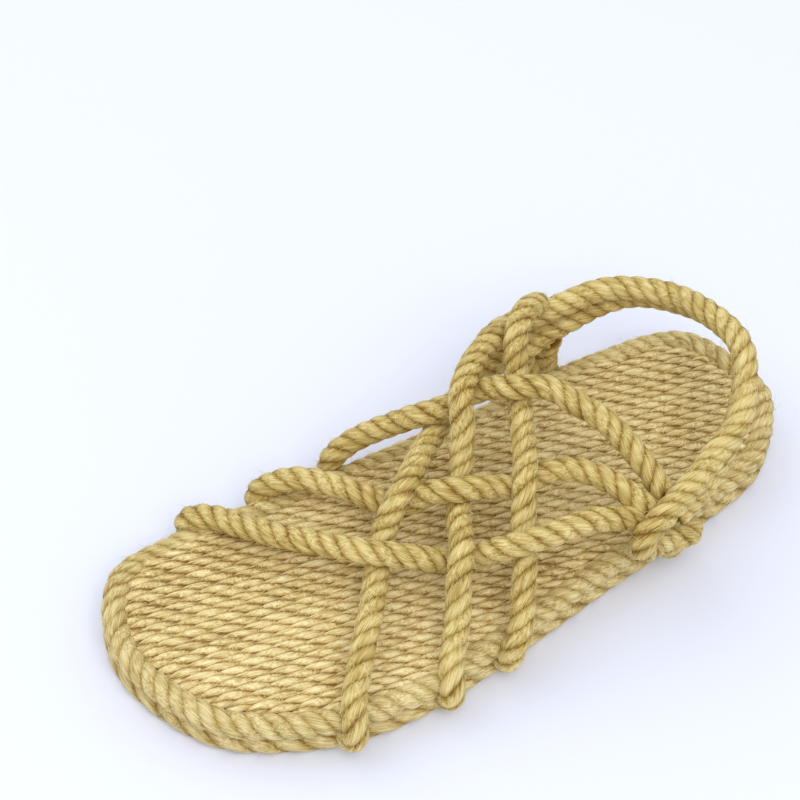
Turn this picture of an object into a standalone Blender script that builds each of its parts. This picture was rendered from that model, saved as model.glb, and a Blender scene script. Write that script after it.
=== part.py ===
"""Rope sandal, left shoe: a two-layer rope sole under an open cage of rope straps.

Metres, +Z up. The toe points to -Y, the heel to +Y and the outer (lateral) side to +X.
Sizes below are in millimetres: "across" runs along X, "along" runs along Y and "up" along Z.
"""
import math

import bmesh
import bpy
import numpy as np

MM = 0.001

# Ropes: radius over the strand crests, and the length of one full twist.
STRAP_ROPE_RADIUS = 4.7
STRAP_ROPE_LAY = 21.0
SOLE_ROPE_RADIUS = 4.4
SOLE_ROPE_LAY = 27.6
STRANDS = 3
GROOVE_SHARE = 0.76
STEPS_PER_LAY = 6
EDGE_LEVELS = 4

# Gap that neighbouring pieces keep, and the tubes that cut it free.
GAP = 0.3
CUTTER_STEP = 3.5
CUTTER_SIDES = 12
WELD_DISTANCE = 0.01

# Sole: two rope layers, one on the other.
LAYER_HEIGHT = 2.0 * SOLE_ROPE_RADIUS
OUTSOLE_TOP = LAYER_HEIGHT - GAP
RIM_CENTRE_HEIGHT = LAYER_HEIGHT + SOLE_ROPE_RADIUS
FOOTBED_BOTTOM = LAYER_HEIGHT
FOOTBED_TOP = 17.0
ROW_PITCH = 4.0
ROW_RELIEF = 1.1
ROW_POINTS = 4

# Points round the outline: of the rim rope, of the footbed and for measuring.
RIM_POINTS = 96
FOOTBED_POINTS = 50
MEASURE_POINTS = 720
BESIDE = 1.5

# Outline of the sole seen from above, clockwise from the tip of the toe.
OUTLINE_COLUMNS = ("place", "across", "along")
OUTLINE = (
    ("toe tip", -14.0, -132.5),
    ("little toe", 23.0, -119.3),
    ("outer toe bend", 41.7, -92.8),
    ("outer ball", 49.3, -66.0),
    ("behind the ball", 49.9, -39.8),
    ("outer waist", 45.0, 0.0),
    ("outer arch", 40.9, 26.4),
    ("outer heel front", 37.5, 53.0),
    ("outer heel", 33.5, 79.4),
    ("outer heel bend", 27.0, 108.0),
    ("outer heel corner", 12.0, 126.0),
    ("heel tip", -4.8, 132.4),
    ("inner heel bend", -37.6, 120.5),
    ("inner heel", -45.8, 79.4),
    ("inner waist", -45.0, 26.0),
    ("inner ball", -47.3, -46.0),
    ("big toe side", -49.9, -92.8),
    ("big toe", -44.6, -120.0),
)

# Strap routes, from the edge of the sole over the foot to the gather on the other side.
ROUTE_COLUMNS = ("across", "along", "up")
INNER_FRONT_STRAP = (
    (-46, -79, 21), (-36, -73, 24), (-23, -65, 28), (-8, -54, 33), (2, -45, 35), (9, -35, 34),
    (14, -25, 31), (17, -17, 29), (20, -13, 32), (26, -8, 40), (31, 0, 45), (33, 11, 46),
    (35, 26, 45), (38, 37, 41), (40, 45, 36),
)
INNER_MIDDLE_STRAP = (
    (-47, -53, 22), (-42, -46, 26), (-30, -36, 28), (-17, -28, 29), (-13, -25, 29), (-9, -22, 33),
    (-6, -16, 40), (1, -8, 44), (4, 2, 43), (8, 10, 41), (8, 14, 41), (9, 20, 44), (11, 25, 46),
    (16, 31, 47), (24, 37, 47), (35, 42, 44), (41, 48, 38),
)
INNER_BACK_STRAP = (
    (-48, -27, 22), (-46, -19, 28), (-39, -7, 37), (-33, 1, 44), (-31, 7, 45), (-31, 13, 46),
    (-29, 19, 50), (-23, 23, 55), (-17, 27, 59), (-12, 36, 59), (-2, 41, 57), (6, 47, 54),
    (17, 50, 50), (28, 52, 46), (36, 53, 41),
)
OUTER_FRONT_STRAP = (
    (43, -75, 21), (37, -70, 23), (29, -63, 25), (18, -53, 27), (5, -43, 27), (-1, -38, 28),
    (-5, -34, 33), (-8, -28, 40), (-12, -22, 41), (-19, -13, 39), (-28, -1, 36), (-31, 5, 37),
    (-39, 20, 38), (-44, 37, 38), (-46, 45, 35), (-48, 50, 31),
)
OUTER_MIDDLE_STRAP = (
    (46, -39, 22), (37, -31, 29), (30, -27, 35), (22, -21, 39), (15, -16, 38), (5, -11, 36),
    (-4, -4, 36), (-9, -1, 39), (-15, 3, 47), (-19, 5, 53), (-26, 8, 56), (-35, 18, 56),
    (-42, 29, 54), (-47, 39, 50), (-50, 47, 43), (-51, 51, 36),
)
OUTER_BACK_STRAP = (
    (49, -13, 22), (43, -9, 27), (37, -5, 33), (30, 0, 36), (25, 2, 37), (20, 5, 41), (16, 8, 47),
    (12, 10, 49), (4, 16, 50), (-7, 22, 50), (-14, 26, 50), (-22, 30, 50), (-28, 33, 53),
    (-35, 37, 57), (-42, 43, 59), (-47, 50, 58), (-50, 58, 54), (-50, 62, 53),
)
STRAP_COLUMNS = ("name", "side", "along the edge", "route")
STRAPS = (
    ("inner_front", -1, -85.0, INNER_FRONT_STRAP),
    ("inner_middle", -1, -58.0, INNER_MIDDLE_STRAP),
    ("inner_back", -1, -29.0, INNER_BACK_STRAP),
    ("outer_front", 1, -78.0, OUTER_FRONT_STRAP),
    ("outer_middle", 1, -42.0, OUTER_MIDDLE_STRAP),
    ("outer_back", 1, -17.0, OUTER_BACK_STRAP),
)

# A strap's end wraps the edge of the sole: out from the edge, and up from the floor.
WRAP_COLUMNS = ("out", "up")
EDGE_WRAP = ((-9.0, 6.0), (-5.5, 5.9), (-2.0, 6.0), (1.5, 7.6), (3.0, 11.6), (2.5, 16.6))

# Heel strap: two ropes, one on the other, from gather to gather round the heel. Behind the
# heel the lower one lies farther out.
HEEL_ROPE_UPPER = (
    (43, 49, 28), (46, 42, 30), (47, 36, 35), (47, 37, 43), (46, 44, 47), (43, 52, 47), (39, 63, 47),
    (33, 77, 48), (29, 88, 50), (22, 96, 53), (12, 103, 57), (1, 107, 59), (-15, 106, 57),
    (-28, 104, 53), (-40, 96, 50), (-48, 84, 48), (-50, 70, 46), (-52, 58, 44), (-55, 47, 41),
    (-56, 41, 36), (-55, 42, 29), (-53, 49, 25),
)
HEEL_ROPE_LOWER = (
    (44, 52, 39), (40, 63, 39), (34, 77, 40), (28, 87, 42), (22, 95, 45), (13, 104, 49),
    (1, 111, 52), (-17, 111, 50), (-32, 107, 45), (-44, 97, 42), (-49, 84, 38), (-49, 72, 36),
    (-50, 63, 34),
)

# Routes are splines with so many samples between two points. They are then softened by
# averaging each point with its neighbours, so many times.
SPLINE_SAMPLES = 24
SOFTEN_STEP = 2.0
SOFTEN_PASSES = 6

# Knotted bundles that hold the gathers to the edge of the sole.
BUNDLE_ROPE_RADIUS = 4.8
BUNDLE_COLUMNS = ("across", "along", "up")
OUTER_BUNDLE = (
    ((27, 60, 6.2), (35, 60, 6.3), (39, 59, 11), (41, 56, 19), (42, 53, 27)),
    ((26, 67, 6.2), (34, 67, 6.3), (38, 66, 11), (40, 62, 19), (41, 58, 29)),
)
INNER_BUNDLE = (
    ((-36, 62, 6.2), (-44, 62, 6.2), (-51, 60, 10), (-54, 57, 19), (-52, 55, 28)),
    ((-34, 67, 6.2), (-44, 67, 6.2), (-51, 67, 10), (-53, 67, 19), (-50, 66, 30)),
)

# Finishes: red, green, blue and roughness of each piece.
FINISH_COLUMNS = ("piece", "red", "green", "blue", "roughness")
FINISHES = (
    ("outsole", 0.50, 0.38, 0.17, 0.85),
    ("footbed", 0.60, 0.47, 0.24, 0.80),
    ("rim_rope", 0.56, 0.44, 0.20, 0.75),
    ("strap_cage", 0.56, 0.43, 0.17, 0.65),
    ("heel_strap", 0.57, 0.44, 0.18, 0.65),
    ("anchor_outer", 0.48, 0.35, 0.14, 0.75),
    ("anchor_inner", 0.46, 0.32, 0.13, 0.75),
)


def clear_scene():
    """Remove every object of the open scene."""
    for obj in list(bpy.data.objects):
        bpy.data.objects.remove(obj, do_unlink=True)


def new_collection(name, parent=None):
    """Return a new collection linked to the scene or to a parent collection."""
    collection = bpy.data.collections.new(name)
    (parent or bpy.context.scene.collection).children.link(collection)
    return collection


def smooth_route(points, closed=False):
    """Return a dense smooth curve through the points (a Catmull-Rom spline)."""
    knots = np.array(points, dtype=float)
    if closed:
        knots = np.vstack([knots[-1], knots, knots[:2]])
    else:
        knots = np.vstack([2 * knots[0] - knots[1], knots, 2 * knots[-1] - knots[-2]])
    t = np.linspace(0.0, 1.0, SPLINE_SAMPLES, endpoint=False)[:, None]
    pieces = []
    for before, start, end, after in zip(knots[:-3], knots[1:-2], knots[2:-1], knots[3:]):
        bend = (2 * before - 5 * start + 4 * end - after) * t ** 2
        turn = (3 * start - before - 3 * end + after) * t ** 3
        pieces.append(0.5 * (2 * start + (end - before) * t + bend + turn))
    pieces.append(knots[-2:-1])
    return np.vstack(pieces)


def even_points(route, count):
    """Return count points at equal distances along a dense route, both ends included."""
    lengths = np.linalg.norm(np.diff(route, axis=0), axis=1)
    travelled = np.concatenate([[0.0], np.cumsum(lengths)])
    wanted = np.linspace(0.0, travelled[-1], count)
    return np.stack([np.interp(wanted, travelled, column) for column in route.T], axis=1)


def route_length(route):
    """Return the length of a dense route."""
    return float(np.linalg.norm(np.diff(route, axis=0), axis=1).sum())


def sole_outline(inset=0.0, count=RIM_POINTS, slide=0.0):
    """Return points at equal distances on the sole's outline, moved inwards by the inset.

    The inset is one distance or one for each point, and slide turns the points round the
    outline by so many of their spacings. The first point isn't repeated at the end.
    """
    knots = [(across, along) for place, across, along in OUTLINE]
    dense = smooth_route(knots, closed=True)
    travelled = np.concatenate([[0.0], np.cumsum(np.linalg.norm(np.diff(dense, axis=0), axis=1))])
    wanted = (np.arange(count) + slide) * travelled[-1] / count % travelled[-1]
    outline = np.stack([np.interp(wanted, travelled, column) for column in dense.T], axis=1)
    ahead = np.roll(outline, -1, axis=0) - np.roll(outline, 1, axis=0)
    ahead /= np.linalg.norm(ahead, axis=1)[:, None]
    inward = np.stack([-ahead[:, 1], ahead[:, 0]], axis=1)
    return outline + inward * np.reshape(inset, (-1, 1))


def edge_across(side, along):
    """Return how far across the sole's edge lies on one side at a place along it."""
    outline = sole_outline(count=MEASURE_POINTS)
    beside = outline[np.abs(outline[:, 1] - along) < BESIDE]
    return float(side * np.max(side * beside[:, 0]))


def make_curve(name, points, collection, closed=False):
    """Return a curve object with one straight-sided spline through points in millimetres."""
    curve = bpy.data.curves.new(name, "CURVE")
    curve.dimensions = "3D"
    spline = curve.splines.new("POLY")
    spline.points.add(len(points) - 1)
    for target, point in zip(spline.points, points):
        target.co = (point[0] * MM, point[1] * MM, point[2] * MM, 1.0)
    spline.use_cyclic_u = closed
    obj = bpy.data.objects.new(name, curve)
    collection.objects.link(obj)
    return obj


def strand_section(name, radius, collection):
    """Return a closed section with a crest for each strand and a groove between two."""
    corners = 2 * STRANDS
    points = []
    for corner in range(corners):
        reach = radius if corner % 2 == 0 else radius * GROOVE_SHARE
        angle = 2.0 * math.pi * corner / corners
        points.append((reach * math.cos(angle), reach * math.sin(angle), 0.0))
    section = make_curve(name, points, collection, closed=True)
    hide_as_guide(section)
    return section


def hide_as_guide(obj):
    """Mark an object as a guide or a cutter, which is not part of the sandal."""
    obj.hide_render = True
    obj.display_type = "WIRE"


def curve_to_mesh(obj, collection):
    """Return a closed mesh object made from a curve object, which is removed."""
    bpy.context.view_layer.update()
    graph = bpy.context.evaluated_depsgraph_get()
    mesh = bpy.data.meshes.new_from_object(obj.evaluated_get(graph))
    name = obj.name
    curve = obj.data
    bpy.data.objects.remove(obj, do_unlink=True)
    bpy.data.curves.remove(curve)
    mesh.name = name
    work = bmesh.new()
    work.from_mesh(mesh)
    bmesh.ops.remove_doubles(work, verts=work.verts, dist=WELD_DISTANCE * MM)
    bmesh.ops.recalc_face_normals(work, faces=work.faces)
    work.to_mesh(mesh)
    work.free()
    made = bpy.data.objects.new(name, mesh)
    collection.objects.link(made)
    return made


def rope(name, route, section, lay, collection, closed=False):
    """Return a laid rope: the strand section carried along the route and turned as it goes."""
    length = route_length(route)
    turns = length / lay
    if closed:
        turns = round(turns)
        count = turns * STEPS_PER_LAY
        points = even_points(route, count + 1)[:-1]
    else:
        count = max(2, round(turns * STEPS_PER_LAY))
        points = even_points(route, count + 1)
    obj = make_curve(name, points, collection, closed=closed)
    obj.data.bevel_mode = "OBJECT"
    obj.data.bevel_object = section
    obj.data.use_fill_caps = not closed
    turn_per_step = 2.0 * math.pi * turns / count
    for index, point in enumerate(obj.data.splines[0].points):
        point.tilt = index * turn_per_step
    return curve_to_mesh(obj, collection)


def clearance_tube(name, route, radius, collection):
    """Return a round cutter that clears a rope of the given radius, and its ends, by the gap."""
    count = max(4, round(route_length(route) / CUTTER_STEP))
    points = even_points(route, count + 1)
    for end, beside in ((0, 1), (-1, -2)):
        ahead = points[end] - points[beside]
        points[end] += 2.0 * GAP * ahead / np.linalg.norm(ahead)
    obj = make_curve(name, points, collection)
    obj.data.bevel_depth = (radius + GAP) * MM / math.cos(math.pi / CUTTER_SIDES)
    obj.data.bevel_resolution = CUTTER_SIDES // 4 - 1
    obj.data.use_fill_caps = True
    made = curve_to_mesh(obj, collection)
    hide_as_guide(made)
    return made


def boolean(obj, operation, other):
    """Add a Boolean modifier that joins, cuts or trims an object with another."""
    modifier = obj.modifiers.new(operation.title() + "_" + other.name, "BOOLEAN")
    modifier.operation = operation
    modifier.solver = "EXACT"
    modifier.object = other


def cut_with_all(obj, cutters):
    """Add one Boolean modifier that cuts an object with every cutter of a collection."""
    modifier = obj.modifiers.new("Cut_with_" + cutters.name, "BOOLEAN")
    modifier.operation = "DIFFERENCE"
    modifier.solver = "EXACT"
    modifier.operand_type = "COLLECTION"
    modifier.collection = cutters


def flat_plate(name, outline, bottom, top, collection):
    """Return a closed plate with the given outline between two heights."""
    curve = bpy.data.curves.new(name, "CURVE")
    curve.dimensions = "2D"
    curve.fill_mode = "BOTH"
    curve.extrude = 0.5 * (top - bottom) * MM
    spline = curve.splines.new("POLY")
    spline.points.add(len(outline) - 1)
    for target, point in zip(spline.points, outline):
        target.co = (point[0] * MM, point[1] * MM, 0.0, 1.0)
    spline.use_cyclic_u = True
    obj = bpy.data.objects.new(name, curve)
    collection.objects.link(obj)
    made = curve_to_mesh(obj, collection)
    for vertex in made.data.vertices:
        vertex.co.z += 0.5 * (top + bottom) * MM
    return made


def row_slab(name, bottom, top, collection):
    """Return a slab whose top carries the footbed's lengthwise rows of rope."""
    reach = max(abs(across) for place, across, along in OUTLINE) + ROW_PITCH
    rows = math.ceil(reach / ROW_PITCH)
    profile = [(-rows * ROW_PITCH, bottom)]
    for step in range(2 * rows * ROW_POINTS + 1):
        across = -rows * ROW_PITCH + step * ROW_PITCH / ROW_POINTS
        crest = abs(math.sin(math.pi * step / ROW_POINTS))
        profile.append((across, top - ROW_RELIEF * (1.0 - crest)))
    profile.append((rows * ROW_PITCH, bottom))
    half_length = 0.5 * max(along for place, across, along in OUTLINE) + ROW_PITCH
    made = flat_plate(name, profile, -2.0 * half_length, 2.0 * half_length, collection)
    for vertex in made.data.vertices:
        across, up, along = vertex.co
        vertex.co = (across, -along, up)
    made.data.update()
    return made


def finish_material(name):
    """Return the Principled material of a piece from the table of finishes."""
    red, green, blue, roughness = {row[0]: row[1:] for row in FINISHES}[name]
    material = bpy.data.materials.new(name + "_straw")
    material.use_nodes = True
    shader = material.node_tree.nodes["Principled BSDF"]
    shader.inputs["Base Color"].default_value = (red, green, blue, 1.0)
    shader.inputs["Roughness"].default_value = roughness
    shader.inputs["Metallic"].default_value = 0.0
    return material


def dress(obj):
    """Give a piece its own material."""
    obj.data.materials.clear()
    obj.data.materials.append(finish_material(obj.name))


def soft_route(points):
    """Return a smooth route through the points with its sharper bends eased."""
    route = smooth_route(points)
    route = even_points(route, max(3, round(route_length(route) / SOFTEN_STEP)))
    for _ in range(SOFTEN_PASSES):
        route[1:-1] = 0.25 * route[:-2] + 0.5 * route[1:-1] + 0.25 * route[2:]
    return route


def strap_route(side, along, route):
    """Return a strap's dense route: round the sole's edge, then over the foot."""
    edge = edge_across(side, along)
    wrap = [(edge + side * out, along, up) for out, up in EDGE_WRAP]
    return soft_route(wrap + list(route))


def heel_routes():
    """Return the dense routes of the heel strap's upper and lower rope."""
    return soft_route(HEEL_ROPE_UPPER), soft_route(HEEL_ROPE_LOWER)


def build_outsole(parts):
    """Lower rope layer: a plate whose round edge carries the strands of a laid rope.

    Each level of the edge is the outline, moved inwards along a half circle, and slides along
    the edge with its height, so that crests and grooves slant round the edge like strands.
    """
    length = route_length(np.vstack([sole_outline(), sole_outline()[:1]]))
    count = 2 * STRANDS * round(length / SOLE_ROPE_LAY)
    half_height = 0.5 * OUTSOLE_TOP
    crests = np.arange(count) % 2 == 0
    work = bmesh.new()
    rings = []
    for level in range(EDGE_LEVELS + 1):
        angle = math.pi * (level / EDGE_LEVELS - 0.5)
        slide = level / EDGE_LEVELS * STRANDS
        relief = np.where(crests, 0.0, (1.0 - GROOVE_SHARE) * SOLE_ROPE_RADIUS * math.cos(angle))
        inset = SOLE_ROPE_RADIUS * (1.0 - math.cos(angle)) + relief
        points = sole_outline(inset, count, slide)
        up = half_height * (1.0 + math.sin(angle))
        rings.append([work.verts.new((x * MM, y * MM, up * MM)) for x, y in points])
    for lower, upper in zip(rings[:-1], rings[1:]):
        for index in range(count):
            after = (index + 1) % count
            work.faces.new((lower[index], lower[after], upper[after], upper[index]))
    bmesh.ops.triangulate(work, faces=work.faces)
    work.faces.new(rings[0])
    work.faces.new(rings[-1])
    bmesh.ops.recalc_face_normals(work, faces=work.faces)
    mesh = bpy.data.meshes.new("outsole")
    work.to_mesh(mesh)
    work.free()
    outsole = bpy.data.objects.new("outsole", mesh)
    parts.objects.link(outsole)
    return outsole


def build_rim(parts, guides):
    """Rim rope laid round the footbed on the lower layer's edge."""
    section = strand_section("rim_section", SOLE_ROPE_RADIUS, guides)
    ring = sole_outline(SOLE_ROPE_RADIUS)
    ring = np.column_stack([ring, np.full(len(ring), RIM_CENTRE_HEIGHT)])
    ring = np.vstack([ring, ring[:1]])
    return rope("rim_rope", ring, section, SOLE_ROPE_LAY, parts, closed=True)


def build_footbed(parts, guides):
    """Footbed of lengthwise rope rows, trimmed to lie inside the rim rope."""
    slab = row_slab("footbed", FOOTBED_BOTTOM, FOOTBED_TOP, parts)
    inset = 2.0 * SOLE_ROPE_RADIUS + GAP
    trim_outline = sole_outline(inset, FOOTBED_POINTS)
    trim = flat_plate("footbed_trim", trim_outline, 0.0, 2.0 * FOOTBED_TOP, guides)
    hide_as_guide(trim)
    boolean(slab, "INTERSECT", trim)
    return slab


def build_straps(parts, guides, cutters):
    """Cage of six straps, joined where they cross."""
    section = strand_section("strap_section", STRAP_ROPE_RADIUS, guides)
    cage = None
    for name, side, along, route in STRAPS:
        dense = strap_route(side, along, route)
        clearance_tube("clear_" + name, dense, STRAP_ROPE_RADIUS, cutters)
        if cage is None:
            cage = rope("strap_cage", dense, section, STRAP_ROPE_LAY, parts)
        else:
            strap = rope("strap_" + name, dense, section, STRAP_ROPE_LAY, guides)
            hide_as_guide(strap)
            boolean(cage, "UNION", strap)
    return cage


def build_heel_strap(parts, guides, cutters):
    """Heel strap of two ropes, one lying on the other."""
    section = strand_section("heel_section", STRAP_ROPE_RADIUS, guides)
    upper_route, lower_route = heel_routes()
    heel = rope("heel_strap", upper_route, section, STRAP_ROPE_LAY, parts)
    lower = rope("heel_strap_lower", lower_route, section, STRAP_ROPE_LAY, guides)
    hide_as_guide(lower)
    boolean(heel, "UNION", lower)
    clearance_tube("clear_heel_upper", upper_route, STRAP_ROPE_RADIUS, cutters)
    clearance_tube("clear_heel_lower", lower_route, STRAP_ROPE_RADIUS, cutters)
    return heel


def build_anchor(name, bundle, parts, guides, cutters):
    """Knotted bundle of two folded ropes from the sole's edge up to a gather."""
    section = strand_section(name + "_section", BUNDLE_ROPE_RADIUS, guides)
    first_route, second_route = [soft_route(points) for points in bundle]
    anchor = rope(name, first_route, section, STRAP_ROPE_LAY, parts)
    second = rope(name + "_second", second_route, section, STRAP_ROPE_LAY, guides)
    hide_as_guide(second)
    boolean(anchor, "UNION", second)
    clearance_tube("clear_" + name + "_first", first_route, BUNDLE_ROPE_RADIUS, cutters)
    clearance_tube("clear_" + name + "_second", second_route, BUNDLE_ROPE_RADIUS, cutters)
    return anchor


def stand_on_origin(pieces, guides, assembly):
    """Parent pieces and guides to the assembly and centre it over the origin, on the floor."""
    bpy.context.view_layer.update()
    graph = bpy.context.evaluated_depsgraph_get()
    corners = []
    for piece in pieces:
        mesh = piece.evaluated_get(graph).to_mesh()
        points = np.empty(len(mesh.vertices) * 3)
        mesh.vertices.foreach_get("co", points)
        points = points.reshape(-1, 3)
        corners.append(points.min(axis=0))
        corners.append(points.max(axis=0))
        piece.evaluated_get(graph).to_mesh_clear()
    lowest = np.min(corners, axis=0)
    highest = np.max(corners, axis=0)
    middle = 0.5 * (lowest + highest)
    for child in list(pieces) + list(guides.all_objects):
        child.parent = assembly
    assembly.location = (-middle[0], -middle[1], -lowest[2])


def main():
    """Build the sandal."""
    clear_scene()
    parts = new_collection("rope_sandal")
    guides = new_collection("rope_sandal_cutters")
    clear_straps = new_collection("clear_straps", guides)
    clear_heel = new_collection("clear_heel", guides)
    clear_anchors = new_collection("clear_anchors", guides)
    outsole = build_outsole(parts)
    footbed = build_footbed(parts, guides)
    rim = build_rim(parts, guides)
    cage = build_straps(parts, guides, clear_straps)
    heel = build_heel_strap(parts, guides, clear_heel)
    outer = build_anchor("anchor_outer", OUTER_BUNDLE, parts, guides, clear_anchors)
    inner = build_anchor("anchor_inner", INNER_BUNDLE, parts, guides, clear_anchors)
    for piece in (cage, outer, inner):
        cut_with_all(piece, clear_heel)
    for piece in (outer, inner):
        cut_with_all(piece, clear_straps)
    for piece in (outsole, footbed, rim):
        cut_with_all(piece, clear_straps)
        cut_with_all(piece, clear_anchors)
    pieces = (outsole, footbed, rim, cage, heel, outer, inner)
    for piece in pieces:
        dress(piece)
    assembly = bpy.data.objects.new("rope_sandal", None)
    parts.objects.link(assembly)
    stand_on_origin(pieces, guides, assembly)


main()
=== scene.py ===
"""Looks of a rope sandal, left shoe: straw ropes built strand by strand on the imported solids.

Every rope is laid from round strands. A strand is a helix round the rope's centre line, and its
surface is a ring of points carried along that helix, worked out as one numpy array. Sizes are in
millimetres in the sandal's own drawing, where "across" runs to the outer side, "along" runs from
toe to heel and "up" from the floor. They become metres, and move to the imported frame, only when
a mesh is made.
"""
import logging
import math
from dataclasses import dataclass, field, fields, replace
from enum import Enum

import bpy
import numpy as np
from mathutils import Matrix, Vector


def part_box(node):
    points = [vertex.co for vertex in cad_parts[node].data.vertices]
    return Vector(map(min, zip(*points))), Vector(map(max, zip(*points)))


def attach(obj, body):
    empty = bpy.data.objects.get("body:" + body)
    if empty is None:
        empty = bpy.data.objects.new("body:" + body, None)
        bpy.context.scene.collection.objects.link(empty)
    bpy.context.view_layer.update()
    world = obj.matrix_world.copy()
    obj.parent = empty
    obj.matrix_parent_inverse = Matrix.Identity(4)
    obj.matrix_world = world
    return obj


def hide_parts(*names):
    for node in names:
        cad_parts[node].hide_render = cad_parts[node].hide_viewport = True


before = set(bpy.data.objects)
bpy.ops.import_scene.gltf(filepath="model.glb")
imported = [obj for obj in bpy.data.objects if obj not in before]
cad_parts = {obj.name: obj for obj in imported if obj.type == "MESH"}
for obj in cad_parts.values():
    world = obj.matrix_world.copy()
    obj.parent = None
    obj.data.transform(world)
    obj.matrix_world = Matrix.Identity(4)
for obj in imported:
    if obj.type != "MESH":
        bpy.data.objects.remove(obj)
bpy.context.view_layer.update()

LOG = logging.getLogger("rope_sandal")
MM = 0.001
BODY = "root"
Array = np.ndarray
Colour = tuple[float, float, float]
Place = tuple[float, float, float]
Table = tuple[tuple[float, ...], ...]

# Outline of the sole seen from above, clockwise from the tip of the toe: place, across, along.
OUTLINE = (
    ("toe tip", -14.0, -132.5),
    ("little toe", 23.0, -119.3),
    ("outer toe bend", 41.7, -92.8),
    ("outer ball", 49.3, -66.0),
    ("behind the ball", 49.9, -39.8),
    ("outer waist", 45.0, 0.0),
    ("outer arch", 40.9, 26.4),
    ("outer heel front", 37.5, 53.0),
    ("outer heel", 33.5, 79.4),
    ("outer heel bend", 27.0, 108.0),
    ("outer heel corner", 12.0, 126.0),
    ("heel tip", -4.8, 132.4),
    ("inner heel bend", -37.6, 120.5),
    ("inner heel", -45.8, 79.4),
    ("inner waist", -45.0, 26.0),
    ("inner ball", -47.3, -46.0),
    ("big toe side", -49.9, -92.8),
    ("big toe", -44.6, -120.0),
)

# Strap routes, from the edge of the sole over the foot to the gather on the other side. A point
# is across, along and up.
INNER_FRONT_STRAP = (
    (-46, -79, 21), (-36, -73, 24), (-23, -65, 28), (-8, -54, 33), (2, -45, 35), (9, -35, 34),
    (14, -25, 31), (17, -17, 29), (20, -13, 32), (26, -8, 40), (31, 0, 45), (33, 11, 46),
    (35, 26, 45), (38, 37, 41), (40, 45, 36),
)
INNER_MIDDLE_STRAP = (
    (-47, -53, 22), (-42, -46, 26), (-30, -36, 28), (-17, -28, 29), (-13, -25, 29), (-9, -22, 33),
    (-6, -16, 40), (1, -8, 44), (4, 2, 43), (8, 10, 41), (8, 14, 41), (9, 20, 44), (11, 25, 46),
    (16, 31, 47), (24, 37, 47), (35, 42, 44), (41, 48, 38),
)
INNER_BACK_STRAP = (
    (-48, -27, 22), (-46, -19, 28), (-39, -7, 37), (-33, 1, 44), (-31, 7, 45), (-31, 13, 46),
    (-29, 19, 50), (-23, 23, 55), (-17, 27, 59), (-12, 36, 59), (-2, 41, 57), (6, 47, 54),
    (17, 50, 50), (28, 52, 46), (36, 53, 41),
)
OUTER_FRONT_STRAP = (
    (43, -75, 21), (37, -70, 23), (29, -63, 25), (18, -53, 27), (5, -43, 27), (-1, -38, 28),
    (-5, -34, 33), (-8, -28, 40), (-12, -22, 41), (-19, -13, 39), (-28, -1, 36), (-31, 5, 37),
    (-39, 20, 38), (-44, 37, 38), (-46, 45, 35), (-48, 50, 31),
)
OUTER_MIDDLE_STRAP = (
    (46, -39, 22), (37, -31, 29), (30, -27, 35), (22, -21, 39), (15, -16, 38), (5, -11, 36),
    (-4, -4, 36), (-9, -1, 39), (-15, 3, 47), (-19, 5, 53), (-26, 8, 56), (-35, 18, 56),
    (-42, 29, 54), (-47, 39, 50), (-50, 47, 43), (-51, 51, 36),
)
OUTER_BACK_STRAP = (
    (49, -13, 22), (43, -9, 27), (37, -5, 33), (30, 0, 36), (25, 2, 37), (20, 5, 41), (16, 8, 47),
    (12, 10, 49), (4, 16, 50), (-7, 22, 50), (-14, 26, 50), (-22, 30, 50), (-28, 33, 53),
    (-35, 37, 57), (-42, 43, 59), (-47, 50, 58), (-50, 58, 54), (-50, 62, 53),
)

# A strap's end wraps the edge of the sole: out from the edge, and up from the floor.
EDGE_WRAP = ((-9.0, 6.0), (-5.5, 5.9), (-2.0, 6.0), (1.5, 7.6), (3.0, 11.6), (2.5, 16.6))

# Heel strap: two ropes, one on the other, from gather to gather round the heel. Behind the
# heel the lower one lies farther out.
HEEL_ROPE_UPPER = (
    (43, 49, 28), (46, 42, 30), (47, 36, 35), (47, 37, 43), (46, 44, 47), (43, 52, 47), (39, 63, 47),
    (33, 77, 48), (29, 88, 50), (22, 96, 53), (12, 103, 57), (1, 107, 59), (-15, 106, 57),
    (-28, 104, 53), (-40, 96, 50), (-48, 84, 48), (-50, 70, 46), (-52, 58, 44), (-55, 47, 41),
    (-56, 41, 36), (-55, 42, 29), (-53, 49, 25),
)
HEEL_ROPE_LOWER = (
    (44, 52, 39), (40, 63, 39), (34, 77, 40), (28, 87, 42), (22, 95, 45), (13, 104, 49),
    (1, 111, 52), (-17, 111, 50), (-32, 107, 45), (-44, 97, 42), (-49, 84, 38), (-49, 72, 36),
    (-50, 63, 34),
)

# Soft ends of the heel ropes, tucked in among the other ropes of the outer and the inner gather,
# and of the outer back strap, turned down on the upper heel rope in place of its last two points.
UPPER_TAIL = ((44, 63, 24), (46, 56, 27))
LOWER_TAIL = ((-50, 57, 31), (-48, 50, 30))
OUTER_BACK_TAIL = ((-50, 57, 53), (-53, 60, 49), (-54, 61, 43))

# Knotted bundles that hold the gathers to the edge of the sole, two ropes in each.
OUTER_BUNDLE = (
    ((27, 60, 6.2), (35, 60, 6.3), (39, 59, 11), (41, 56, 19), (42, 53, 27)),
    ((26, 67, 6.2), (34, 67, 6.3), (38, 66, 11), (40, 62, 19), (41, 58, 29)),
)
INNER_BUNDLE = (
    ((-36, 62, 6.2), (-44, 62, 6.2), (-51, 60, 10), (-54, 57, 19), (-52, 55, 28)),
    ((-34, 67, 6.2), (-44, 67, 6.2), (-51, 67, 10), (-53, 67, 19), (-50, 66, 30)),
)

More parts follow.
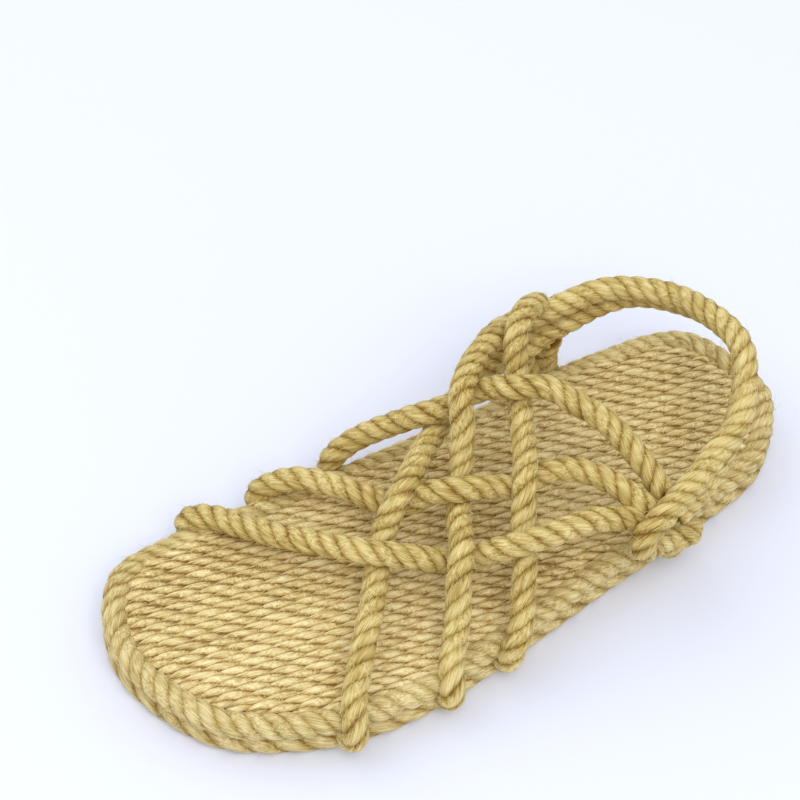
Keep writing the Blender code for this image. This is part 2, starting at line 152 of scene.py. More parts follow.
# Slow random waves: their lengths as shares of the given one, and the gain that brings their
# mean to about one.
WAVE_SHARES = (0.6, 0.9, 1.3, 1.9)
WAVE_GAIN = 1.6

# A direction that no rope runs along, from which directions across a rope are worked out.
REFERENCE = (0.36, -0.48, 0.8)

# How far apart the fibre coordinates of two strands of a rope start, in millimetres.
STRAND_STRETCH = 37.0

# Shares of the rope's radius inside which a strand stays round and outside which it is pressed
# fully, and the one whose painted groove shade a cut end shows.
ROUND_INSIDE = 0.2
PRESSED_OUTSIDE = 0.5
CUT_END_HEIGHT = 0.95


class Side(Enum):
    """The two sides of the foot, as the sign of their places across the sole."""

    INNER = -1
    OUTER = 1


class Slot(Enum):
    """Names of the record's material slots for the kinds of rope."""

    SOLE = "sole_rope"
    FOOTBED = "footbed_rope"
    STRAP = "strap_rope"


def smooth_route(points: Array, closed: bool = False, samples: int = 24) -> Array:
    """Return a dense smooth curve through the points.

    Between two points the curve is a cubic whose slope at each end is half the difference of the
    neighbouring points (a Catmull-Rom spline).

    Args:
        points: Route points, one row each.
        closed: Whether the route returns to its first point.
        samples: Curve points between two route points.

    Returns:
        Curve points, one row each, with the first repeated at the end of a closed route.
    """
    knots = np.array(points, dtype=float)
    if closed:
        knots = np.vstack([knots[-1], knots, knots[:2]])
    else:
        knots = np.vstack([2 * knots[0] - knots[1], knots, 2 * knots[-1] - knots[-2]])
    t = np.linspace(0.0, 1.0, samples, endpoint=False)[None, :, None]
    before, start, end, after = (knots[i:len(knots) - 3 + i, None] for i in range(4))
    bend = (2 * before - 5 * start + 4 * end - after) * t ** 2
    turn = (3 * start - before - 3 * end + after) * t ** 3
    curve = 0.5 * (2 * start + (end - before) * t + bend + turn)
    return np.vstack([curve.reshape(-1, knots.shape[1]), knots[-2]])


def travelled(route: Array) -> Array:
    """Return the distance along a route at each of its points."""
    return np.concatenate([[0.0], np.cumsum(np.linalg.norm(np.diff(route, axis=0), axis=1))])


def even_points(route: Array, count: int) -> Array:
    """Return points at equal distances along a route, both ends included.

    Args:
        route: Points of a dense route.
        count: How many points to return.

    Returns:
        The points, one row each.
    """
    distance = travelled(route)
    wanted = np.linspace(0.0, distance[-1], count)
    return np.stack([np.interp(wanted, distance, column) for column in route.T], axis=1)


def soft_route(points: Table, step: float = 2.0, passes: int = 6) -> Array:
    """Return a smooth route through the points with its sharper bends eased.

    The curve is sampled at even steps, and each inner sample is then replaced several times by
    a quarter of each neighbour and half of itself.

    Args:
        points: Route points as listed.
        step: Distance between two samples.
        passes: How many times the samples are averaged.

    Returns:
        Samples of the eased route, one row each.
    """
    route = smooth_route(points)
    route = even_points(route, max(3, round(travelled(route)[-1] / step)))
    for _ in range(passes):
        route[1:-1] = 0.25 * route[:-2] + 0.5 * route[1:-1] + 0.25 * route[2:]
    return route


def unit(vectors: Array) -> Array:
    """Return the vectors scaled to length one."""
    return vectors / np.linalg.norm(vectors, axis=-1, keepdims=True)


def placing(right: Array, up: Array, back: Array, place: Array | Place) -> Matrix:
    """Return a camera's or light's matrix, whose columns are the directions and the place."""
    rows = [[*row, where] for row, where in zip(np.stack([right, up, back], axis=1), place)]
    return Matrix(rows + [[0.0, 0.0, 0.0, 1.0]])


def circle(angle: Array, first: Array, second: Array) -> Array:
    """Return the directions at the angles from each first direction towards its second one."""
    return np.cos(angle)[:, None] * first[:, :, None] + np.sin(angle)[:, None] * second[:, :, None]


def quads_between(here: Array, there: Array) -> Array:
    """Return the quads between rings of corner numbers and the rings that follow them."""
    return np.stack([here, np.roll(here, -1, 2), np.roll(there, -1, 2), there], -1).reshape(-1, 4)


def linked(name: str, data: bpy.types.ID) -> bpy.types.Object:
    """Return a new object of a mesh, light or camera, linked to the scene."""
    obj = bpy.data.objects.new(name, data)
    bpy.context.scene.collection.objects.link(obj)
    return obj


def set_inputs(node: bpy.types.Node, **values: object) -> bpy.types.Node:
    """Return the node with the named inputs set, where an underscore stands for a space."""
    for name, value in values.items():
        node.inputs[name.replace("_", " ")].default_value = value
    return node


def wander(distance: Array, wavelength: float, rng: np.random.Generator) -> Array:
    """Return a slow random wave along a distance, between about -1 and 1.

    It is the mean of sines whose wavelengths lie on both sides of the given one.

    Args:
        distance: Distances at which the wave is read.
        wavelength: Middle wavelength, in the unit of the distances.
        rng: Source of the sines' starts.

    Returns:
        The wave at each distance.
    """
    lengths = wavelength * np.array(WAVE_SHARES)
    starts = rng.uniform(0.0, 2.0 * math.pi, lengths.size)
    waves = np.sin(2.0 * math.pi * distance[..., None] / lengths + starts)
    return waves.mean(axis=-1) * WAVE_GAIN


@dataclass(frozen=True)
class Outline:
    """The sole's outline as a closed curve seen from above.

    Attributes:
        count: Points at equal distances round the outline.
        beside: How near an outline point counts as beside a place along it.
    """

    count: int = 900
    beside: float = 1.5

    def ring(self, inset: float) -> Array:
        """Return the outline moved inwards, with its first point repeated at the end.

        Each point moves at right angles to the line through its two neighbours.

        Args:
            inset: How far each point moves.

        Returns:
            Points across and along, one row each.
        """
        knots = [(across, along) for _, across, along in OUTLINE]
        ring = even_points(smooth_route(knots, closed=True), self.count + 1)[:-1]
        ahead = unit(np.roll(ring, -1, axis=0) - np.roll(ring, 1, axis=0))
        ring = ring + inset * np.stack([-ahead[:, 1], ahead[:, 0]], axis=1)
        return np.vstack([ring, ring[:1]])

    def edge_across(self, side: Side, along: float) -> float:
        """Return how far across the edge lies on one side at a place along the sole.

        Args:
            side: Inner or outer side.
            along: Place along the sole.

        Returns:
            The outermost place across.
        """
        ring = self.ring(0.0)
        beside = ring[np.abs(ring[:, 1] - along) < self.beside]
        return float(side.value * np.max(side.value * beside[:, 0]))

    def span_along(self, across: float, inset: float) -> tuple[float, float] | None:
        """Return where a line at a place across the sole enters and leaves the inset outline.

        A side of the ring crosses the line where its ends' offsets from it differ in sign.

        Args:
            across: Place of the line across the sole.
            inset: How far the outline is moved inwards.

        Returns:
            The lowest and highest place along, or None where the line misses the outline.
        """
        ring = self.ring(inset)
        offset = ring[:, 0] - across
        crossing = np.nonzero(offset[:-1] * offset[1:] < 0.0)[0]
        if len(crossing) < 2:
            return None
        share = offset[crossing] / (offset[crossing] - offset[crossing + 1])
        along = ring[crossing, 1] + share * (ring[crossing + 1, 1] - ring[crossing, 1])
        return float(along.min()), float(along.max())


@dataclass
class Surface:
    """A closed surface of quads and triangles with what its finish reads.

    Attributes:
        points: Corners, one row each.
        outward: Direction out of the surface at each corner.
        quads: Corner numbers of the four-sided faces.
        quad_fibre: Fibre coordinates of each corner of each quad, across and along.
        fans: Corner numbers of the triangles that close the ends.
        height: 1 on a strand's crest, falling towards the rope's heart, at each corner; the finish
            paints shade where it is low.
        tone: A number from 0 to 1 that differs from strand to strand, at each corner.
    """

    points: Array
    outward: Array
    quads: Array
    quad_fibre: Array
    fans: Array
    height: Array
    tone: Array

    @staticmethod
    def joined(parts: "list[Surface]") -> "Surface":
        """Return one surface that holds all the parts, with their corner numbers moved up.

        Args:
            parts: Surfaces to join.

        Returns:
            The joined surface.
        """
        starts = np.cumsum([0] + [len(part.points) for part in parts[:-1]])
        moved = [
            replace(part, quads=part.quads + start, fans=part.fans + start)
            for part, start in zip(parts, starts)
        ]
        names = [item.name for item in fields(Surface)]
        return Surface(*(np.concatenate([getattr(part, name) for part in moved]) for name in names))

    def triangles(self) -> int:
        """Return how many triangles the surface has."""
        return 2 * len(self.quads) + len(self.fans)

    def to_object(self, name: str, shift: Array) -> bpy.types.Object:
        """Return a mesh object of the surface, moved by the shift and scaled to metres.

        Args:
            name: Name of the object.
            shift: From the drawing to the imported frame.

        Returns:
            The object, at the origin with its place in its mesh.
        """
        mesh = bpy.data.meshes.new(name)
        corners = np.concatenate([self.quads.ravel(), self.fans.ravel()])
        sizes = np.concatenate([np.full(len(self.quads), 4), np.full(len(self.fans), 3)])
        starts = np.concatenate([[0], np.cumsum(sizes)[:-1]])
        mesh.vertices.add(len(self.points))
        mesh.vertices.foreach_set("co", ((self.points + shift) * MM).astype(np.float32).ravel())
        mesh.loops.add(len(corners))
        mesh.loops.foreach_set("vertex_index", corners.astype(np.int32))
        mesh.polygons.add(len(sizes))
        mesh.polygons.foreach_set("loop_start", starts.astype(np.int32))
        mesh.polygons.foreach_set("use_smooth", np.ones(len(sizes), dtype=bool))
        fibre = np.zeros((len(corners), 2), dtype=np.float32)
        fibre[:self.quads.size] = self.quad_fibre.reshape(-1, 2)
        mesh.uv_layers.new(name="fibre").data.foreach_set("uv", fibre.ravel())
        for label, values in (("height", self.height), ("tone", self.tone)):
            attribute = mesh.attributes.new(label, "FLOAT", "POINT")
            attribute.data.foreach_set("value", values.astype(np.float32))
        mesh.update(calc_edges=True)
        return linked(name, mesh)


@dataclass(frozen=True)
class LaidRope:
    """A rope laid from round strands.

    Attributes:
        radius: Distance from the centre line to the strands' crests.
        lay: Length of one full turn of a strand. A positive lay rises to the right.
        strands: How many strands are laid together.
        sides: Points round a strand.
        step: Distance between two rings of points along the rope.
        fullness: Strand radius as a share of the rope's radius.
        unevenness: How far a strand's radius varies, as a share of it.
        squash: Height of the rope as a share of its width, for a trodden row.
        fibre_slant: How far the fibres turn back against the strand's own turn, 1 for fully.
        packing: How far the strands are pressed out of round to fill the grooves, 1 for fully.
        swell_wave: Length over which a strand swells and thins.
        drift_wave: Length over which a strand drifts round the rope.
        drift: How far it drifts, in turns.
        gathered: Share by which the points round a strand crowd on its outer side.
        bulge: Share of the unevenness with which a strand's crest stands out.
        rounding: Length over which a free end rounds off, in strand radii.
        tone_drift: How far a strand's tone follows its swelling.
    """

    radius: float
    lay: float
    strands: int = 3
    sides: int = 14
    step: float = 0.75
    fullness: float = 0.50
    unevenness: float = 0.05
    squash: float = 1.0
    fibre_slant: float = 1.2
    packing: float = 0.6
    swell_wave: float = 17.0
    drift_wave: float = 31.0
    drift: float = 0.012
    gathered: float = 0.22
    bulge: float = 0.4
    rounding: float = 0.9
    tone_drift: float = 0.12

    def cross_frames(self, route: Array, closed: bool) -> tuple[Array, Array, Array]:
        """Return the tangents of a route and two directions across it that don't spin.

        A first pair of directions comes from a fixed reference. The angle by which it spins from
        one point to the next is summed up and turned back.

        Args:
            route: Points of the centre line.
            closed: Whether the route is a flat ring, whose first point is repeated at its end.

        Returns:
            Tangents, and the two directions across.
        """
        if closed:
            ahead = np.roll(route[:-1], -1, axis=0) - np.roll(route[:-1], 1, axis=0)
            tangent = unit(np.vstack([ahead, ahead[:1]]))
            first = np.tile([0.0, 0.0, 1.0], (len(route), 1))
            return tangent, first, np.cross(tangent, first)
        tangent = unit(np.gradient(route, axis=0))
        first = unit(np.cross(tangent, REFERENCE))
        second = np.cross(tangent, first)
        axis = np.cross(tangent[:-1], tangent[1:])
        cosine = np.sum(tangent[:-1] * tangent[1:], axis=1, keepdims=True)
        carried = (
            cosine * first[:-1]
            + np.cross(axis, first[:-1])
            + axis * np.sum(axis * first[:-1], axis=1, keepdims=True) / (1.0 + cosine)
        )
        spin = np.arctan2(np.sum(carried * second[1:], axis=1), np.sum(carried * first[1:], axis=1))
        angle = np.concatenate([[0.0], np.cumsum(spin)])[:, None]
        steady = first * np.cos(angle) + second * np.sin(angle)
        return tangent, steady, np.cross(tangent, steady)

    def laid_along(
        self, route: Array, seed: int, closed: bool = False, start: float | None = None
    ) -> Surface:
        """Return the rope's strands along a route.

        Strand k lies at the angle 2 pi (distance / lay + k / strands) round the centre line, at
        the rope's radius less its own. Round it runs a ring of points, its radius wandering a
        little and rounding off to nothing at an open end. A point at the share h of the rope's
        radius is then pressed out to h + packing (1 - h), unless it lies deep inside.

        Args:
            route: Centre line.
            seed: Seed of the unevenness.
            closed: Whether the route is a flat ring.
            start: Turns made by the first strand where the rope begins, or None for any.

        Returns:
            The strands as one surface.
        """
        rng = np.random.default_rng(seed)
        length = travelled(route)[-1]
        lay = length / round(length / self.lay) if closed else self.lay
        rings = max(8, round(length / self.step))
        centre = even_points(route, rings + 1)
        distance = np.linspace(0.0, length, rings + 1)
        tangent, first, second = self.cross_frames(centre, closed)

        strand = np.arange(self.strands)[:, None]
        uneven = np.stack([wander(distance, self.swell_wave, rng) for _ in range(self.strands)])
        drift = np.stack([wander(distance, self.drift_wave, rng) for _ in range(self.strands)])
        fade = np.sin(math.pi * distance / length) if closed else 1.0
        turns = distance / lay + strand / self.strands + self.drift * drift * fade
        angle = 2.0 * math.pi * (turns + (rng.uniform() if start is None else start))
        thickness = self.fullness * self.radius * (1.0 + self.unevenness * uneven * fade)
        reach = self.radius * (1.0 + self.bulge * self.unevenness * uneven * fade) - thickness

        radial = np.cos(angle)[..., None] * first + np.sin(angle)[..., None] * second
        middle = centre + reach[..., None] * radial
        heading = np.gradient(middle, axis=1)
        if closed:
            heading[:, 0] = heading[:, -1] = middle[:, 1] - middle[:, -2]
        heading = unit(heading)
        beside = unit(np.cross(heading, radial))
        radial = np.cross(beside, heading)

        around = np.linspace(-1.0, 1.0, self.sides, endpoint=False)
        around = math.pi * ((1.0 - self.gathered) * around + self.gathered * around ** 3)
        outward = circle(around, radial, beside)
        if not closed:
            near_end = np.minimum(distance, length - distance) / (self.rounding * thickness)
            rounding = np.clip(near_end, 0.02, 1.0)
            thickness = thickness * np.sqrt(1.0 - (1.0 - rounding) ** 2)
            cut = CUT_END_HEIGHT * (1.0 - np.clip(near_end, 0.0, 1.0))
        points = middle[:, :, None, :] + thickness[..., None, None] * outward
        away = points - centre[:, None, :]
        height = np.linalg.norm(away, axis=-1) / self.radius
        inside = np.clip((height - ROUND_INSIDE) / (PRESSED_OUTSIDE - ROUND_INSIDE), 0.0, 1.0)
        pressed = height + self.packing * (1.0 - height) * inside ** 2 * (3.0 - 2.0 * inside)
        # The height that the finish reads for its painted groove shade, raised near a cut end.
        shown = height if closed else np.maximum(height, cut[..., None])
        away = away * (pressed / np.maximum(height, 1e-6))[..., None]
        away[..., 2] *= self.squash
        points = centre[:, None, :] + away
        tone = np.broadcast_to(rng.uniform(0.0, 1.0, (self.strands, 1, 1)), height.shape)
        tone = np.clip(tone + self.tone_drift * uneven[..., None], 0.0, 1.0)
        return self._woven(points, outward, shown, tone, self._fibre(around, distance), closed)

    @staticmethod
    def _woven(
        points: Array, outward: Array, height: Array, tone: Array, fibre: Array, closed: bool
    ) -> Surface:
        """Return the grid of points (strand, ring, side) as a surface of quads.

        Args:
            points: Grid of points.
            outward: Direction out of the strand at each point.
            height: Share of the rope's radius, from which the finish paints shade into the grooves.
            tone: Tone at each point.
            fibre: Fibre coordinates of the quads' corners.
            closed: Whether the last ring is the first one, and is left out.

        Returns:
            The surface, with fans over the ends of an open rope.
        """
        if closed:
            points, outward, height, tone = (grid[:, :-1] for grid in (points, outward, height, tone))
        index = np.arange(height.size).reshape(height.shape)
        here = index if closed else index[:, :-1]
        there = np.roll(index, -1, axis=1) if closed else index[:, 1:]
        surface = Surface(
            points=points.reshape(-1, 3),
            outward=outward.reshape(-1, 3),
            quads=quads_between(here, there),
            quad_fibre=fibre,
            fans=np.empty((0, 3), dtype=int),
            height=height.ravel(),
            tone=tone.ravel(),
        )
        if closed:
            return surface
        strands = len(points)
        poles = height.size + np.arange(2 * strands).reshape(strands, 2)
        start, end = index[:, 0], index[:, -1]
        pairs = ((np.roll(start, -1, axis=1), start), (end, np.roll(end, -1, axis=1)))
        surface.fans = np.vstack([
            np.stack([one, other, np.broadcast_to(pole[:, None], one.shape)], axis=-1).reshape(-1, 3)
            for (one, other), pole in zip(pairs, poles.T)
        ])
        middles = points[:, [0, -1]].mean(axis=2).reshape(-1, 3)
        surface.points = np.vstack([surface.points, middles])
        surface.outward = np.vstack([surface.outward, np.tile([0.0, 0.0, 1.0], (2 * strands, 1))])
        surface.height = np.append(surface.height, np.full(2 * strands, CUT_END_HEIGHT))
        surface.tone = np.append(surface.tone, np.full(2 * strands, 0.5))
        return surface

    def _fibre(self, around: Array, distance: Array) -> Array:
        """Return the fibre coordinates of the corners of every strand's quads.

        A fibre runs along the strand and turns back against the strand's own turn, so its
        coordinate across is the arc round the strand plus a share of the distance along it.

        Args:
            around: Angles of the sides round a strand.
            distance: Distances of the rings along the rope.

        Returns:
            Coordinates across and along, for four corners a quad.
        """
        slope = 2.0 * math.pi * (1.0 - self.fullness) * self.radius / self.lay
        across = np.append(around, math.pi) * self.fullness * self.radius
        along = distance * math.hypot(1.0, slope)
        grid = across[None, :] + self.fibre_slant * slope * along[:, None]
        grid = np.stack([grid, np.broadcast_to(along[:, None], grid.shape)], axis=-1)
        quads = np.stack([grid[:-1, :-1], grid[:-1, 1:], grid[1:, 1:], grid[1:, :-1]], axis=2)
        apart = STRAND_STRETCH * np.arange(self.strands)[:, None, None, None, None]
        fibre = quads[None] + np.concatenate([apart, 0.0 * apart], axis=-1)
        return fibre.reshape(-1, 4, 2)


@dataclass(frozen=True)
class StrawFinish:
    """Twisted straw: fine fibres along each strand, golden on the crests, painted brown shade in the
    grooves.

    Attributes:
        name: Name of the material.
        deep: Colour deep in a groove, where painted shade darkens the straw.
        middle: Colour between groove and crest.
        pale: Colour of the brightest fibres.
        fibre_width: Width of one fibre.
        fibre_length: Length over which a fibre keeps its tone.
        roughness: Mean roughness.
        swing: How far the roughness of single fibres differs from it.
        specular: Strength of the mirror reflection.
        sheen: Strength of the soft sheen of small fibres.
        relief: Height of the fibres.
        contrast: How strongly single fibres differ in tone.
        yarn_share: How much of it is between yarns.
        groove: How much darker the ramp reads at the bottom of a groove, as painted shade.
        groove_floor: Share of the rope's radius that counts as the bottom of a groove.
        level: Where the ramp reads on average.
        strand_share: How strongly strands differ in tone.
        blotch_share: How strongly blotches differ in tone.
        blotches: Blotches in a metre.
    """

    name: str
    deep: Colour
    middle: Colour
    pale: Colour
    fibre_width: float = 0.34
    fibre_length: float = 7.0
    roughness: float = 0.58
    swing: float = 0.12
    specular: float = 0.22
    sheen: float = 0.06
    relief: float = 0.16
    contrast: float = 2.3
    yarn_share: float = 0.4
    groove: float = -0.46
    groove_floor: float = 0.62
    level: float = 0.62
    strand_share: float = 0.14
    blotch_share: float = 0.5
    blotches: float = 22.0

    def material(self) -> bpy.types.Material:
        """Return the material.

        The fibre coordinates are stretched along the fibre and drive two noises, one for single
        fibres and one for the yarns that they form. Their sum, the strand's own tone and its
        height over the groove, which paints shade into the grooves, pick the colour, and their sum
        is also the relief.

        Returns:
            A Principled material.
        """
        material = bpy.data.materials.new(self.name)
        material.use_nodes = True
        nodes, links = material.node_tree.nodes, material.node_tree.links
        shader = nodes["Principled BSDF"]

        def node(kind: str, **settings: object) -> bpy.types.Node:
            """Return a new node with the given settings."""
            made = nodes.new(kind)
            for key, value in settings.items():
                setattr(made, key, value)
            return made

        def noise(width: float, length: float, detail: float) -> bpy.types.NodeSocket:
            """Return a noise stretched along the fibres, different on each strand."""
            mapping = set_inputs(node("ShaderNodeMapping"), Scale=(1.0 / width, 1.0 / length, 1.0))
            links.new(place, mapping.inputs["Vector"])
            texture = node("ShaderNodeTexNoise")
            set_inputs(texture, Scale=1.0, Detail=detail, Roughness=0.6)
            links.new(mapping.outputs["Vector"], texture.inputs["Vector"])
            return texture.outputs["Fac"]

        def mixed(kind: str, one: object, two: object) -> bpy.types.NodeSocket:
            """Return a sum, product or the like of two sockets or numbers."""
            made = node("ShaderNodeMath", operation=kind)
            for socket, value in zip(made.inputs, (one, two)):
                if isinstance(value, float):
                    socket.default_value = value
                else:
                    links.new(value, socket)
            return made.outputs["Value"]

        fibre = node("ShaderNodeUVMap", uv_map="fibre").outputs["UV"]
        tone = node("ShaderNodeAttribute", attribute_name="tone").outputs["Fac"]
        height = node("ShaderNodeAttribute", attribute_name="height").outputs["Fac"]
        apart = node("ShaderNodeCombineXYZ")
        links.new(mixed("MULTIPLY", tone, 29.0), apart.inputs["Z"])
        place_node = node("ShaderNodeVectorMath", operation="ADD")
        links.new(fibre, place_node.inputs[0])
        links.new(apart.outputs["Vector"], place_node.inputs[1])
        place = place_node.outputs["Vector"]

        single = noise(self.fibre_width, self.fibre_length, 2.0)
        yarn = noise(4.0 * self.fibre_width, 2.0 * self.fibre_length, 2.0)
        yarn = mixed("MULTIPLY", yarn, self.yarn_share)
        grain = mixed("ADD", mixed("MULTIPLY", single, 1.0 - self.yarn_share), yarn)

        patch = set_inputs(node("ShaderNodeTexNoise"), Scale=self.blotches, Detail=2.0)
        links.new(node("ShaderNodeTexCoord").outputs["Object"], patch.inputs["Vector"])

        # Painted shade: the ramp reads darker where the height falls towards the bottom of a groove
        # between strands.
        painted_groove_shade = node("ShaderNodeMapRange")
        set_inputs(painted_groove_shade, From_Min=self.groove_floor, From_Max=1.0, To_Min=self.groove, To_Max=0.08)
        links.new(height, painted_groove_shade.inputs["Value"])
        shade, patches = painted_groove_shade.outputs["Result"], patch.outputs["Fac"]
        shares = (grain, self.contrast), (tone, self.strand_share), (patches, self.blotch_share)
        for source, share in shares:
            shade = mixed("ADD", shade, mixed("MULTIPLY", mixed("SUBTRACT", source, 0.5), share))
        shade = mixed("ADD", shade, self.level)

        ramp_node = node("ShaderNodeValToRGB")
        ramp = ramp_node.color_ramp
        ramp.elements[0].position = 0.05
        ramp.elements[0].color = (*self.deep, 1.0)
        ramp.elements[1].position = 0.92
        ramp.elements[1].color = (*self.pale, 1.0)
        ramp.elements.new(0.5).color = (*self.middle, 1.0)
        links.new(shade, ramp_node.inputs["Fac"])
        links.new(ramp_node.outputs["Color"], shader.inputs["Base Color"])

        gloss = node("ShaderNodeMapRange")
        set_inputs(gloss, To_Min=self.roughness + self.swing, To_Max=self.roughness - self.swing)
        links.new(grain, gloss.inputs["Value"])
        links.new(gloss.outputs["Result"], shader.inputs["Roughness"])
        set_inputs(shader, Specular_IOR_Level=self.specular, Sheen_Weight=self.sheen)
        set_inputs(shader, Sheen_Tint=(*self.pale, 1.0), Sheen_Roughness=0.5)

        bump = set_inputs(node("ShaderNodeBump"), Strength=0.9, Distance=self.relief * MM)
        links.new(grain, bump.inputs["Height"])
        links.new(bump.outputs["Normal"], shader.inputs["Normal"])
        return material


# Each finish's groove sets how much painted shade darkens the grooves between its strands.
STRAP_STRAW = StrawFinish(
    "strap_straw", deep=(0.19, 0.09, 0.01), middle=(0.49, 0.35, 0.097), pale=(0.765, 0.625, 0.28),
    groove=-0.78,
)
SOLE_STRAW = StrawFinish(
    "sole_straw", deep=(0.21, 0.105, 0.015), middle=(0.495, 0.363, 0.122), pale=(0.78, 0.645, 0.325),
    groove=-0.66,
)
FOOTBED_STRAW = StrawFinish(
    "footbed_straw", deep=(0.26, 0.145, 0.03), middle=(0.68, 0.51, 0.205), pale=(0.94, 0.81, 0.46),
    groove=-0.52,
)
LOOSE_STRAW = StrawFinish(
    "loose_straw", deep=(0.50, 0.38, 0.14), middle=(0.74, 0.60, 0.28), pale=(0.92, 0.82, 0.52)
)


@dataclass
class Workshop:
    """Turns surfaces into dressed pieces that ride on the sandal's body.

    Attributes:
        shift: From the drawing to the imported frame.
        materials: Finished materials by name.
        surfaces: Surfaces of the pieces made so far, on which loose fibres grow.
    """

    shift: Array
    materials: dict[str, bpy.types.Material] = field(default_factory=dict)
    surfaces: list[Surface] = field(default_factory=list)

    @staticmethod
    def from_frame() -> "Workshop":
        """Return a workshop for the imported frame.

        Returns:
            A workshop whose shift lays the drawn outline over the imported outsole.
        """
        low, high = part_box("outsole")
        packed = np.array([low[0] + high[0], low[1] + high[1]]) / 2.0 / MM
        ring = Outline().ring(0.0)
        drawn = (ring.min(axis=0) + ring.max(axis=0)) / 2.0
        return Workshop(shift=np.array([*(packed - drawn), 0.0]))

    def piece(
        self, name: str, surface: Surface, finish: StrawFinish, slot: Slot, *nodes: str
    ) -> bpy.types.Object:
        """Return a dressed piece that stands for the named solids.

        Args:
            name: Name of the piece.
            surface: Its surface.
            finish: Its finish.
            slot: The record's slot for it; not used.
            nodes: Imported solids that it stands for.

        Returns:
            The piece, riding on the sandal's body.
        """
        obj = surface.to_object(name, self.shift)
        if finish.name not in self.materials:
            self.materials[finish.name] = finish.material()
        obj.data.materials.append(self.materials[finish.name])
        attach(obj, BODY)
        if nodes:
            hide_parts(*nodes)
        self.surfaces.append(surface)
        LOG.info("%s: %d triangles", name, surface.triangles())
        return obj


@dataclass
class Sole:
    """Two rope layers: rows of rope inside a border rope, twice, one on the other.

    Attributes:
        rim: Rope of the upper border.
        lower_rim: Rope of the lower border, more loosely laid.
        row: Rope of the footbed's rows.
        under_row: Rope of the rows underneath.
        pitch: Distance between two rows.
        rim_height: Height of the upper border's centre line.
        row_height: Height of the footbed rows' centre lines.
        rim_inset: Distance of the borders' centre lines inside the outline.
        row_inset: Distance of the rows' ends inside the outline.
        end_dip: How far a row's ends dip under the border.
        end_run: Length over which they dip.
        row_slip: How far each row's strands lie behind those of the row beside it.
        row_points: Points of a row's centre line.
        sway: How far a row sways aside.
        sway_length: Length over which the sway turns by one radian.
    """

    rim: LaidRope = LaidRope(radius=4.6, lay=17.6, step=0.7)
    lower_rim: LaidRope = LaidRope(radius=4.5, lay=30.0, step=0.9, fullness=0.52, packing=0.85)
    row: LaidRope = LaidRope(radius=2.35, lay=20.4, sides=8, step=1.2, fullness=0.52, unevenness=0.07)
    under_row: LaidRope = LaidRope(radius=2.3, lay=20.4, sides=6, step=1.9, fullness=0.52)
    pitch: float = 4.0
    rim_height: float = 13.1
    row_height: float = 14.6
    rim_inset: float = 4.4
    row_inset: float = 6.6
    end_dip: float = 2.2
    end_run: float = 7.0
    row_slip: float = 2.9
    row_points: int = 160
    sway: float = 0.25
    sway_length: float = 23.0

    def _border(self, rope: LaidRope, height: float, seed: int) -> Surface:
        """Return a border rope whose centre line runs round the outline at a height."""
        ring = Outline().ring(self.rim_inset)
        return rope.laid_along(np.column_stack([ring, np.full(len(ring), height)]), seed, closed=True)

    def _rows(self, rope: LaidRope, height: float, dip: float, seed: int) -> Surface:
        """Return lengthwise rows of rope whose ends dip under the border.

        A row's height falls as a half cosine over its last few millimetres, and it sways aside
        as a slow sine.

        Args:
            rope: Rope of the rows.
            height: Height of their centre lines.
            dip: How far their ends fall.
            seed: Seed of the unevenness of the middle row.

        Returns:
            All the rows as one surface.
        """
        outline = Outline()
        reach = max(abs(across) for _, across, _ in OUTLINE)
        rows = math.ceil(reach / self.pitch)
        surfaces = []
        for number in range(-rows, rows):
            across = (number + 0.5) * self.pitch
            span = outline.span_along(across, self.row_inset)
            if span is None or span[1] - span[0] < 3.0 * self.end_run:
                continue
            along = np.linspace(*span, self.row_points)
            near_end = np.minimum(along - span[0], span[1] - along) / self.end_run
            fall = 0.5 + 0.5 * np.cos(math.pi * np.clip(near_end, 0.0, 1.0))
            sway = self.sway * np.sin(along / self.sway_length + number)
            route = np.column_stack([across + sway, along, height - dip * fall])
            start = (span[0] + self.row_slip * number) / rope.lay
            surfaces.append(rope.laid_along(route, seed + number, start=start))
        return Surface.joined(surfaces)

    def build(self, shop: Workshop) -> None:
        """Make the footbed, the two borders and the rows underneath.

        Args:
            shop: Where the pieces are made.
        """
        footbed = self._rows(self.row, self.row_height, self.end_dip, seed=300)
        shop.piece("footbed_rows", footbed, FOOTBED_STRAW, Slot.FOOTBED, "footbed")
        rim = self._border(self.rim, self.rim_height, seed=11)
        shop.piece("rim_border", rim, SOLE_STRAW, Slot.SOLE, "rim_rope")
        lower = self._border(self.lower_rim, self.lower_rim.radius, seed=12)
        shop.piece("lower_border", lower, SOLE_STRAW, Slot.SOLE, "outsole")
        under = self._rows(self.under_row, self.under_row.radius, 0.0, seed=500)
        shop.piece("outsole_rows", under, SOLE_STRAW, Slot.SOLE, "outsole")


@dataclass(frozen=True)
class Strap:
    """One strap: where it leaves the sole's edge and how it runs over the foot.

    Attributes:
        name: The strap's name.
        side: Side of the sole that it leaves.
        along: Place along the sole where it leaves the edge.
        points: Its route over the foot.
        seed: Seed of its unevenness.
    """

    name: str
    side: Side
    along: float
    points: Table
    seed: int

    def route(self) -> Array:
        """Return the strap's centre line.

        Returns:
            Points that run round the sole's edge, then over the foot to the gather.
        """
        edge = Outline().edge_across(self.side, self.along)
        wrap = [(edge + self.side.value * out, self.along, up) for out, up in EDGE_WRAP]
        return soft_route((*wrap, *self.points))


